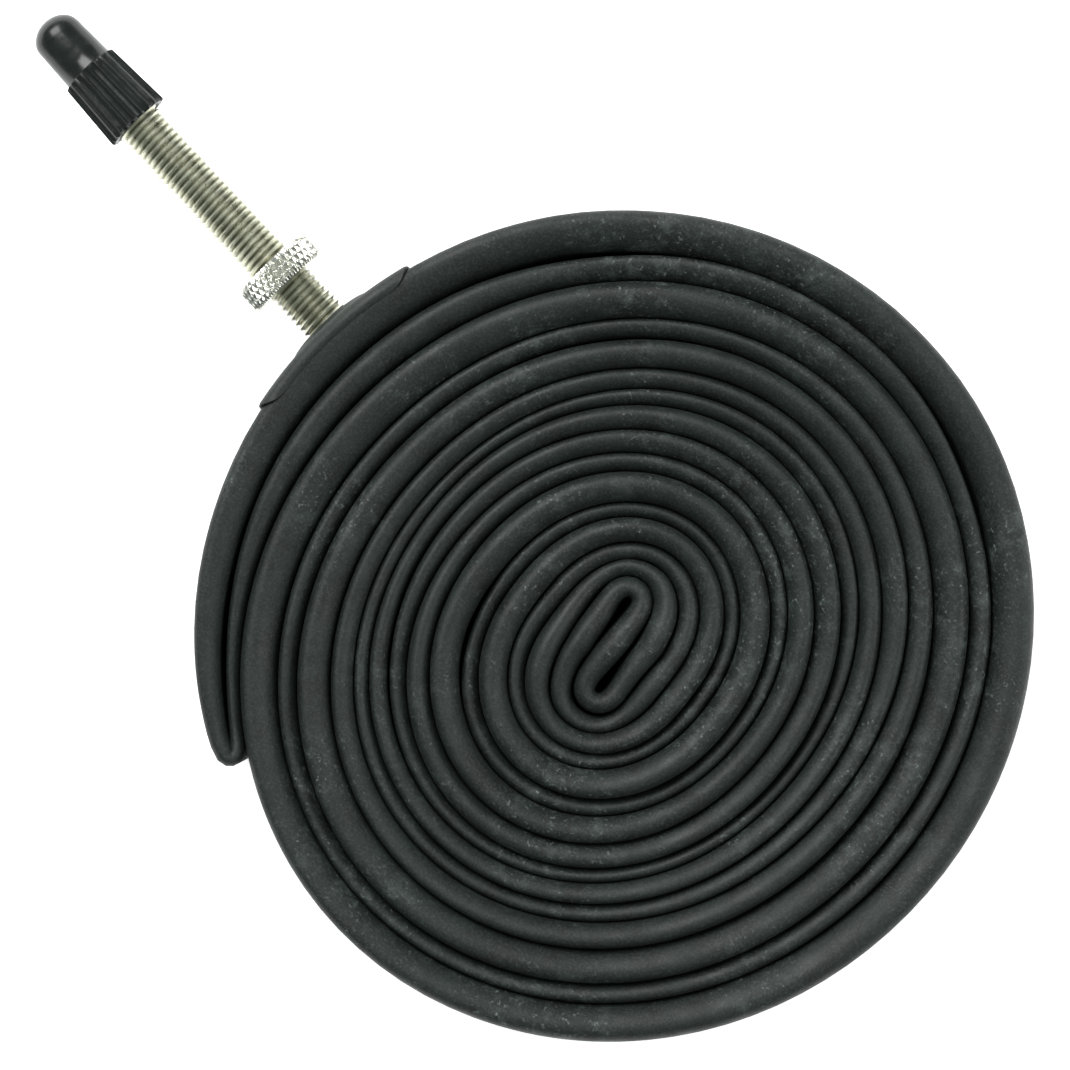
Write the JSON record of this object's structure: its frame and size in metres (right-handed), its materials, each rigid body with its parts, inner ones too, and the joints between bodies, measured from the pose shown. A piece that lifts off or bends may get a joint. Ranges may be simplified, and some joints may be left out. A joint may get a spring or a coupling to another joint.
{
  "type": "bicycle inner tube",
  "caption": "Rolled-up bicycle inner tube with a long slender threaded valve, knurled rim nut, removable core and ribbed dust cap.",
  "frame": {"origin": "middle of the roll on its lower face, where the core strand crosses the winding axis", "axes": "+Z along the roll's winding axis, up from the surface it lies on; +X the way the valve stem points, away from the roll; +Y a quarter turn counter-clockwise from +X seen from above"},
  "size_m": [0.1471, 0.0976, 0.038],
  "materials": {
    "butyl_rubber": "satin dark grey butyl with a trace of talc",
    "patch_rubber": "moulded rubber, satin",
    "plated_stem": "nickel-plated brass, cut thread",
    "bright_nickel": "bright nickel plate, knurled",
    "plated_core": "nickel-plated brass, turned",
    "seal_rubber": "matt black seal rubber",
    "cap_plastic": "glossy moulded black polypropylene"
  },
  "bodies": {
    "roll": {"tube": "butyl_rubber", "valve_patch": "patch_rubber", "valve_stem": "plated_stem", "core_body": "plated_core", "core_seal": "seal_rubber"},
    "rim_nut": {"rim_nut": "bright_nickel"},
    "pin": {"valve_pin": "plated_core", "pin_seal": "seal_rubber", "pin_foot": "plated_core"},
    "pin_nut": {"pin_nut": "bright_nickel"},
    "cap": {"dust_cap": "cap_plastic"}
  },
  "joints": [
    {"name": "rim_nut_travel", "type": "slide", "parent": "roll", "child": "rim_nut", "axis": [1, 0, 0], "range_m": [-0.0055, 0.0225]},
    {"name": "cap_off", "type": "slide", "parent": "roll", "child": "cap", "axis": [1, 0, 0], "range_m": [0, 0.025]},
    {"name": "pin_nut_turn", "type": "hinge", "parent": "roll", "child": "pin_nut", "pos_m": [0.0947, -0.00133, 0.019], "axis": [1, 0, 0], "range_deg": [0, 1440]},
    {"name": "pin_travel", "type": "slide", "parent": "roll", "child": "pin", "axis": [1, 0, 0], "range_m": [-0.0016, 0]}
  ],
  "couplings": [
    {"joint": "pin_nut_turn", "follows": "pin_travel", "rad_per_m": -15700}
  ]
}
